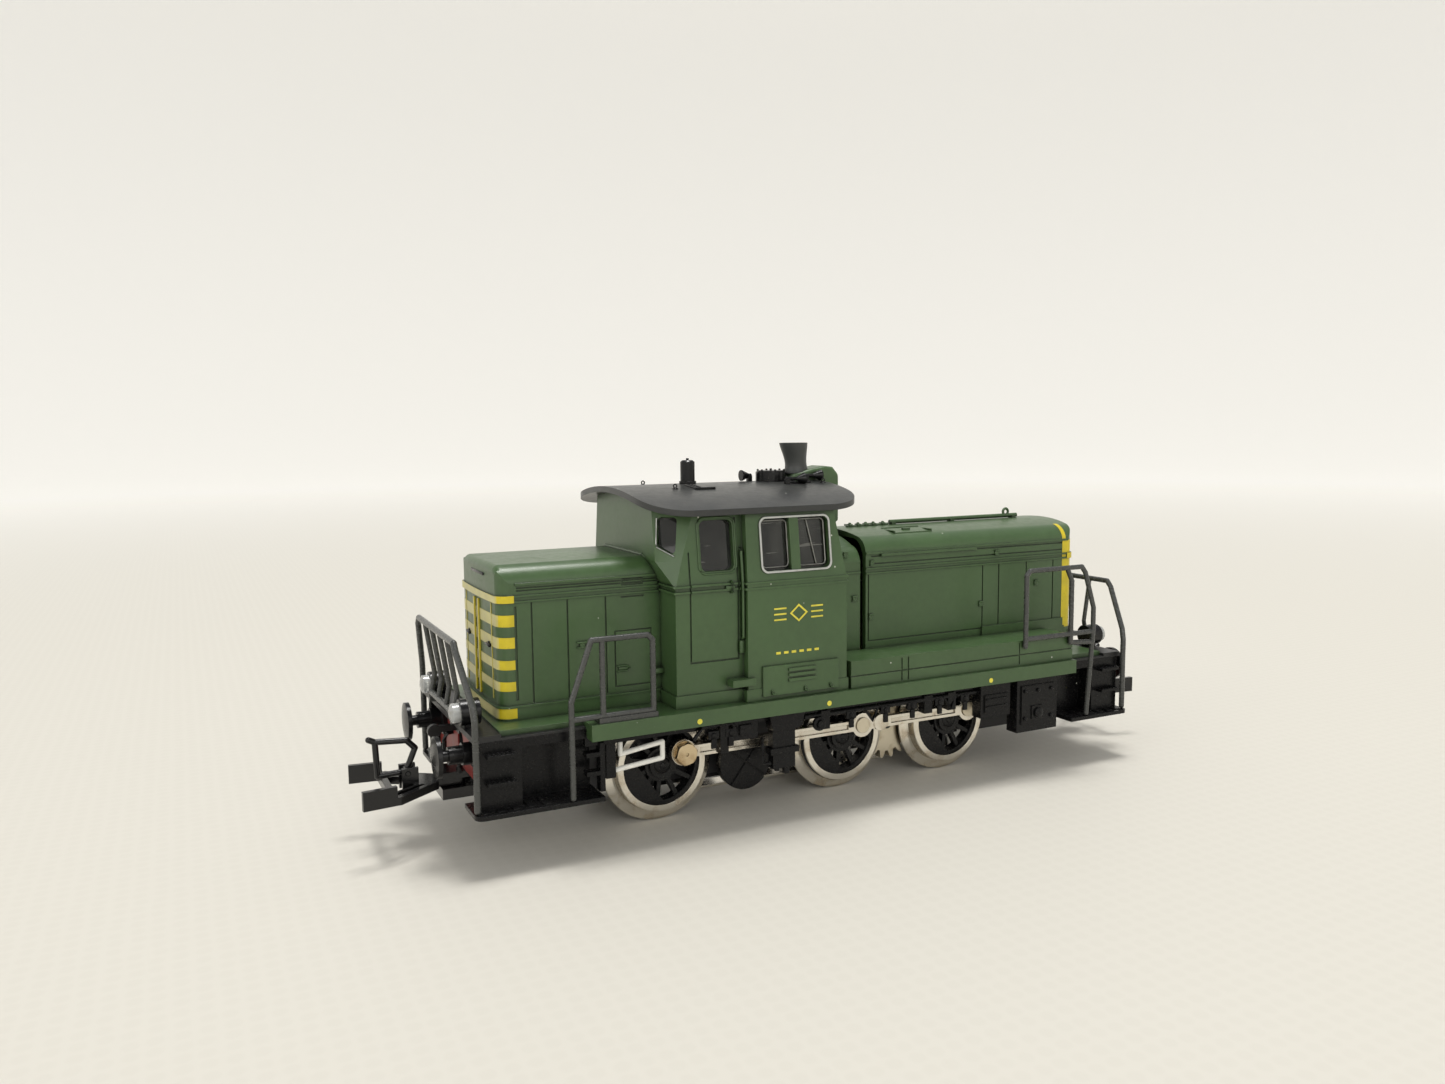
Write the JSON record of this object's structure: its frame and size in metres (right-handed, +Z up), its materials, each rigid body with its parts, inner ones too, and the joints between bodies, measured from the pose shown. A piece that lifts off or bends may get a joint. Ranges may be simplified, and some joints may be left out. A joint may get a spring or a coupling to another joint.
{
  "type": "model diesel shunting locomotive",
  "caption": "Scale model of a diesel shunting locomotive with a cab between two bonnets, side rods, end railings, buffers and hinged couplers.",
  "frame": {"origin": "on the plane the wheel flanges stand on, under the middle of the model", "axes": "+X runs from the short bonnet to the long bonnet, +Z points up, and +Y is the side away from the gears, completing a right-handed frame"},
  "size_m": [0.1368, 0.0358, 0.0544],
  "materials": {
    "green_plastic": "satin, lightly worn",
    "black_plastic": "satin black with worn edges",
    "coupler_black": "semi matt",
    "wheel_black": "satin",
    "grey_plastic": "semi matt",
    "roof_grey": "matt",
    "white_plastic": "semi matt",
    "red_plastic": "satin",
    "motor_shield_plastic": "matt",
    "nickel": "nickel plate, bright with fine wear",
    "steel": "turned",
    "motor_steel": "dull",
    "cast_frame": "blackened casting",
    "brass": "machined",
    "brass_nickel": "plated brass",
    "silver_trim": "printed silver edge",
    "carbon": "matt",
    "tyre_rubber": "matt",
    "lens_clear": "clear",
    "bulb_glass": "clear",
    "window_clear": "clear"
  },
  "bodies": {
    "chassis": {"field_magnet": "motor_steel", "motor_shield": "motor_shield_plastic", "carbon_brushes": "carbon", "reversing_relay": "motor_steel", "chassis_frame": "cast_frame", "base_plate": "black_plastic", "jackshaft_discs": "black_plastic", "side_frames": "black_plastic", "rail_guard_pipes": "white_plastic", "body_screw": "steel", "buffer_beam_short_end": "red_plastic", "buffer_beam_long_end": "red_plastic", "buffers": "black_plastic", "end_railing_short_end": "grey_plastic", "end_railing_long_end": "grey_plastic", "coupler_pockets": "coupler_black", "lamp_housings": "black_plastic", "lamp_lenses": "lens_clear", "light_bulbs": "bulb_glass", "corner_steps": "black_plastic", "handrails_short_bonnet": "grey_plastic", "handrails_long_bonnet": "grey_plastic", "running_board": "green_plastic", "equipment_boxes": "green_plastic", "short_bonnet": "green_plastic", "bonnet_neck": "green_plastic", "long_bonnet": "green_plastic", "cab_shell": "green_plastic", "cab_glazing": "window_clear", "bay_window_frames": "silver_trim", "cab_roof": "roof_grey", "roof_stack": "black_plastic", "roof_ventilator": "black_plastic", "horns": "black_plastic", "exhaust_duct": "green_plastic", "chimney": "roof_grey"},
    "wheelset_middle": {"axle_middle": "steel", "tyres_middle": "nickel", "wheel_centres_middle": "wheel_black", "crank_pins_middle": "brass_nickel", "traction_tyres_middle": "tyre_rubber"},
    "wheelset_short_end": {"axle_short_end": "steel", "tyres_short_end": "nickel", "wheel_centres_short_end": "wheel_black", "crank_pins_short_end": "brass_nickel"},
    "wheelset_long_end": {"axle_long_end": "steel", "tyres_long_end": "nickel", "wheel_centres_long_end": "wheel_black", "crank_pins_long_end": "brass_nickel"},
    "rod_left": {"coupling_rod_left": "nickel"},
    "rod_right": {"coupling_rod_right": "nickel"},
    "idler": {"idler_gear": "brass"},
    "reduction": {"reduction_gear": "brass"},
    "armature": {"armature_core": "motor_steel", "armature_shaft": "steel"},
    "coupler_short_end": {"coupler_head_short_end": "coupler_black"},
    "coupler_long_end": {"coupler_head_long_end": "coupler_black"},
    "bail_short_end": {"coupler_bail_short_end": "coupler_black"},
    "bail_long_end": {"coupler_bail_long_end": "coupler_black"},
    "pickup": {"pickup_shoe": "nickel"}
  },
  "joints": [
    {"name": "middle_wheels_spin", "type": "hinge", "parent": "chassis", "child": "wheelset_middle", "pos_m": [0.00335, 0, 0.0086], "axis": [0, 1, 0], "continuous": true},
    {"name": "short_end_wheels_spin", "type": "hinge", "parent": "chassis", "child": "wheelset_short_end", "pos_m": [-0.0273, 0, 0.0086], "axis": [0, 1, 0], "continuous": true},
    {"name": "long_end_wheels_spin", "type": "hinge", "parent": "chassis", "child": "wheelset_long_end", "pos_m": [0.024, 0, 0.0086], "axis": [0, 1, 0], "continuous": true},
    {"name": "left_rod_pin", "type": "hinge", "parent": "wheelset_middle", "child": "rod_left", "pos_m": [0.00605, -0.0105, 0.01049], "axis": [0, 1, 0], "continuous": true},
    {"name": "right_rod_pin", "type": "hinge", "parent": "wheelset_middle", "child": "rod_right", "pos_m": [0.00146, 0.0105, 0.0113], "axis": [0, 1, 0], "continuous": true},
    {"name": "idler_spin", "type": "hinge", "parent": "chassis", "child": "idler", "pos_m": [0.01367, -0.00575, 0.0086], "axis": [0, 1, 0], "continuous": true},
    {"name": "reduction_spin", "type": "hinge", "parent": "chassis", "child": "reduction", "pos_m": [0.01367, -0.005, 0.01778], "axis": [0, 1, 0], "continuous": true},
    {"name": "armature_spin", "type": "hinge", "parent": "chassis", "child": "armature", "pos_m": [0.01367, 0.002, 0.02778], "axis": [0, 1, 0], "continuous": true},
    {"name": "short_end_coupler_swing", "type": "hinge", "parent": "chassis", "child": "coupler_short_end", "pos_m": [-0.0546, 0, 0.00825], "axis": [0, 0, 1], "range_deg": [-12, 12]},
    {"name": "long_end_coupler_swing", "type": "hinge", "parent": "chassis", "child": "coupler_long_end", "pos_m": [0.0546, 0, 0.00825], "axis": [0, 0, 1], "range_deg": [-12, 12]},
    {"name": "short_end_bail_lift", "type": "hinge", "parent": "coupler_short_end", "child": "bail_short_end", "pos_m": [-0.0616, 0, 0.0103], "axis": [0, 1, 0], "range_deg": [0, 20]},
    {"name": "long_end_bail_lift", "type": "hinge", "parent": "coupler_long_end", "child": "bail_long_end", "pos_m": [0.0616, 0, 0.0103], "axis": [0, -1, 0], "range_deg": [0, 20]},
    {"name": "pickup_travel", "type": "slide", "parent": "chassis", "child": "pickup", "axis": [0, 0, 1], "range_m": [0, 0.0009], "stiffness_N_per_m": 20, "springref_m": -0.002}
  ],
  "couplings": [
    {"joint": "short_end_wheels_spin", "follows": "middle_wheels_spin", "ratio": 1},
    {"joint": "long_end_wheels_spin", "follows": "middle_wheels_spin", "ratio": 1},
    {"joint": "left_rod_pin", "follows": "middle_wheels_spin", "ratio": -1},
    {"joint": "right_rod_pin", "follows": "middle_wheels_spin", "ratio": -1},
    {"joint": "idler_spin", "follows": "middle_wheels_spin", "ratio": -1},
    {"joint": "reduction_spin", "follows": "middle_wheels_spin", "ratio": 1.2857},
    {"joint": "armature_spin", "follows": "middle_wheels_spin", "ratio": -5.1429}
  ]
}
